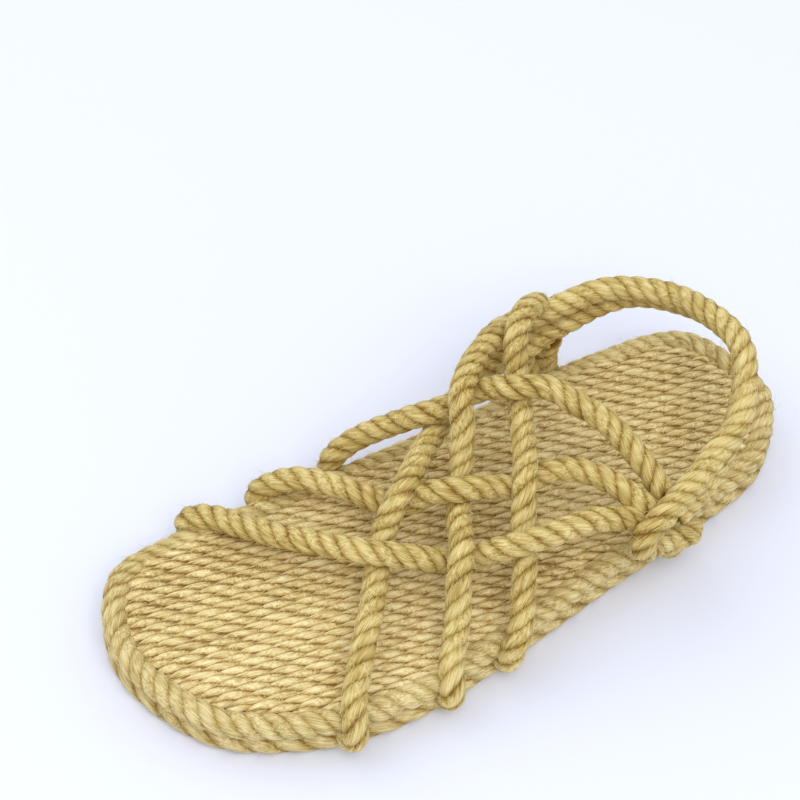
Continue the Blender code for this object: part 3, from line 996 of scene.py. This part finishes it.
@dataclass
class StrapCage:
    """The upper: six rope straps that cross over the foot.

    Attributes:
        rope: Rope of the straps.
        straps: The straps, in the order in which they are laid.
    """

    rope: LaidRope = LaidRope(radius=4.5, lay=17.8)
    straps: tuple[Strap, ...] = (
        Strap("inner_front", Side.INNER, -85.0, INNER_FRONT_STRAP, 21),
        Strap("inner_middle", Side.INNER, -58.0, INNER_MIDDLE_STRAP, 22),
        Strap("inner_back", Side.INNER, -29.0, INNER_BACK_STRAP, 23),
        Strap("outer_front", Side.OUTER, -78.0, OUTER_FRONT_STRAP, 24),
        Strap("outer_middle", Side.OUTER, -42.0, OUTER_MIDDLE_STRAP, 25),
        Strap("outer_back", Side.OUTER, -17.0, OUTER_BACK_STRAP[:-2] + OUTER_BACK_TAIL, 26),
    )

    def build(self, shop: Workshop) -> None:
        """Make each strap as a piece of its own.

        Args:
            shop: Where the pieces are made.
        """
        for strap in self.straps:
            surface = self.rope.laid_along(strap.route(), strap.seed)
            shop.piece("strap_" + strap.name, surface, STRAP_STRAW, Slot.STRAP, "strap_cage")


@dataclass
class HeelStrap:
    """Two ropes, one on the other, from gather to gather round the heel.

    Attributes:
        rope: Rope of both.
    """

    rope: LaidRope = LaidRope(radius=4.6, lay=17.8)

    def build(self, shop: Workshop) -> None:
        """Make the two ropes.

        Args:
            shop: Where the pieces are made.
        """
        ropes = {"upper": UPPER_TAIL + HEEL_ROPE_UPPER, "lower": HEEL_ROPE_LOWER + LOWER_TAIL}
        for seed, (name, points) in enumerate(ropes.items(), start=31):
            surface = self.rope.laid_along(soft_route(points), seed)
            shop.piece("heel_rope_" + name, surface, STRAP_STRAW, Slot.STRAP, "heel_strap")


@dataclass
class Anchors:
    """Knotted rope bundles that tie the gathers to the sole's edge.

    Attributes:
        rope: Rope of the bundles.
    """

    rope: LaidRope = LaidRope(radius=4.8, lay=22.0)

    def build(self, shop: Workshop) -> None:
        """Make the bundle of each side.

        Args:
            shop: Where the pieces are made.
        """
        for name, bundle, seed in (("outer", OUTER_BUNDLE, 41), ("inner", INNER_BUNDLE, 45)):
            ropes = [self.rope.laid_along(soft_route(p), seed + i) for i, p in enumerate(bundle)]
            surface = Surface.joined(ropes)
            shop.piece("bundle_" + name, surface, STRAP_STRAW, Slot.STRAP, "anchor_" + name)


@dataclass(frozen=True)
class Hairs:
    """Loose straw fibres that stand a little off the strands.

    Attributes:
        count: How many there are.
        shortest: Length of the shortest.
        longest: Length of the longest.
        radius: Radius at the root.
        rise: Greatest height over the strand, as a share of the length.
        aside: How far a tip may turn aside, as a share of the length.
        crest: Share of the rope's radius from which on a fibre may be rooted.
        lowest: Lowest root over the floor.
        above_floor: Lowest point of any fibre.
        sections: Straight stretches of one fibre.
        sides: Sides of one fibre.
    """

    count: int = 6000
    shortest: float = 1.5
    longest: float = 5.0
    radius: float = 0.075
    rise: float = 0.26
    aside: float = 0.7
    crest: float = 0.92
    lowest: float = 4.0
    above_floor: float = 0.4
    sections: int = 5
    sides: int = 3

    def build(self, shop: Workshop) -> None:
        """Make the fibres as one piece, rooted at random places on the strands' crests.

        At the share t of its length a fibre has run t along the strand's surface, has risen by
        t (1.3 - t) and has turned aside by t squared.

        Args:
            shop: Where the pieces are made, and whose surfaces carry the fibres.
        """
        rng = np.random.default_rng(77)
        ropes = Surface.joined(shop.surfaces)
        crests = ropes.height > self.crest
        roots, normals = ropes.points[crests], ropes.outward[crests]
        free = (roots[:, 2] > self.lowest) & (normals[:, 2] > -0.3)
        pick = rng.choice(np.nonzero(free)[0], self.count, replace=False)
        root, normal = roots[pick, None], normals[pick, None]
        ahead = unit(np.cross(normal, rng.normal(size=normal.shape)))
        beside = np.cross(normal, ahead)
        length = rng.uniform(self.shortest, self.longest, (self.count, 1, 1))
        rise = self.rise * rng.uniform(0.1, 1.0, length.shape) ** 1.5
        aside = rng.uniform(-self.aside, self.aside, length.shape)
        t = np.linspace(0.0, 1.0, self.sections + 1)[None, :, None]
        path = root + length * (t * ahead + rise * t * (1.3 - t) * normal + aside * t ** 2 * beside)
        path[..., 2] = np.maximum(path[..., 2], self.above_floor)

        tangent = unit(np.gradient(path, axis=1))
        first = unit(np.cross(tangent, beside))
        second = np.cross(tangent, first)
        round_about = circle(2.0 * math.pi * np.arange(self.sides) / self.sides, first, second)
        thickness = self.radius * (1.0 - 0.7 * t[..., None] ** 2)
        points = path[:, :, None] + thickness * round_about
        index = np.arange(points[..., 0].size).reshape(points.shape[:-1])
        quads = quads_between(index[:, :-1], index[:, 1:])
        tone = np.broadcast_to(rng.uniform(size=(self.count, 1, 1)), index.shape)
        surface = Surface(
            points=points.reshape(-1, 3),
            outward=round_about.reshape(-1, 3),
            quads=quads,
            quad_fibre=np.zeros((len(quads), 4, 2)),
            fans=np.vstack([index[:, 0, ::-1], index[:, -1]]),
            height=np.ones(index.size),
            tone=tone.ravel(),
        )
        shop.piece("loose_fibres", surface, LOOSE_STRAW, Slot.STRAP)


@dataclass(frozen=True)
class Lamp:
    """A square area light that looks at the sandal.

    Attributes:
        name: Name of the light.
        place: Its place in metres.
        size: Side of its square in metres.
        watts: Its power.
        colour: Its colour.
    """

    name: str
    place: Place
    size: float
    watts: float
    colour: Colour

    def build(self) -> None:
        """Make the light. Its back points from the sandal through its place."""
        light = bpy.data.lights.new(self.name, "AREA")
        light.size = self.size
        light.energy = self.watts
        light.color = self.colour
        back = unit(np.array(self.place))
        right = unit(np.cross([0.0, 0.0, 1.0], back))
        linked(self.name, light).matrix_world = placing(right, np.cross(back, right), back, self.place)


@dataclass
class Studio:
    """Pale floor, soft light and the camera at the photograph's angle.

    Attributes:
        eye: Camera's place in the drawing.
        right: Direction of the picture's right.
        up: Direction of the picture's top.
        lens: Focal length in millimetres.
        film: Width of the film in millimetres.
        floor_half: Half the floor's side in metres.
        floor_colour: Colour of the floor.
        sky_colour: Colour of the light from all round.
        sky_strength: Its strength.
        lamps: The area lights.
    """

    eye: Place = (354.213, -292.338, 643.661)
    right: Place = (0.528881, 0.846870, 0.055650)
    up: Place = (-0.676544, 0.381104, 0.630117)
    lens: float = 99.567
    film: float = 36.0
    floor_half: float = 3.0
    floor_colour: Colour = (0.80, 0.82, 0.935)
    sky_colour: Colour = (0.90, 0.94, 1.0)
    sky_strength: float = 0.88
    lamps: tuple[Lamp, ...] = (
        Lamp("key", (0.95, -0.3, 1.7), 1.2, 13.4, (1.0, 0.985, 0.96)),
        Lamp("fill", (-0.9, -0.6, 1.3), 1.6, 6.5, (0.93, 0.96, 1.0)),
    )

    def build(self, shop: Workshop) -> None:
        """Make the floor, the lights and the camera.

        Args:
            shop: Workshop whose shift the camera follows.
        """
        self._floor()
        for lamp in self.lamps:
            lamp.build()
        world = bpy.data.worlds.new("studio")
        world.use_nodes = True
        sky = world.node_tree.nodes["Background"]
        set_inputs(sky, Color=(*self.sky_colour, 1.0), Strength=self.sky_strength)
        bpy.context.scene.world = world
        bpy.context.scene.view_settings.view_transform = "Standard"
        self._camera(shop.shift)

    def _floor(self) -> None:
        """Make the floor as one large square."""
        half = self.floor_half
        mesh = bpy.data.meshes.new("floor")
        corners = [(-half, -half, 0.0), (half, -half, 0.0), (half, half, 0.0), (-half, half, 0.0)]
        mesh.from_pydata(corners, [], [(0, 1, 2, 3)])
        floor = linked("floor", mesh)
        material = bpy.data.materials.new("pale_paper")
        material.use_nodes = True
        shader = material.node_tree.nodes["Principled BSDF"]
        set_inputs(shader, Base_Color=(*self.floor_colour, 1.0), Roughness=0.9, Specular_IOR_Level=0.2)
        mesh.materials.append(material)

    def _camera(self, shift: Array) -> None:
        """Place the camera by its eye point and the directions of its picture.

        Args:
            shift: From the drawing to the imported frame.
        """
        camera = bpy.data.cameras.new("camera")
        camera.lens = self.lens
        camera.sensor_width = self.film
        obj = linked("camera", camera)
        eye = (np.array(self.eye) + shift) * MM
        right, up = np.array(self.right), np.array(self.up)
        obj.matrix_world = placing(right, up, np.cross(right, up), eye)
        bpy.context.scene.camera = obj


def main() -> None:
    """Build the sandal and its studio."""
    logging.basicConfig(level=logging.INFO, format="%(message)s")
    shop = Workshop.from_frame()
    LOG.info("shift %s", shop.shift)
    Studio().build(shop)
    for part in (Sole(), StrapCage(), HeelStrap(), Anchors(), Hairs()):
        part.build(shop)
    LOG.info("%d triangles in all", sum(surface.triangles() for surface in shop.surfaces))


if __name__ == "__main__":
    main()
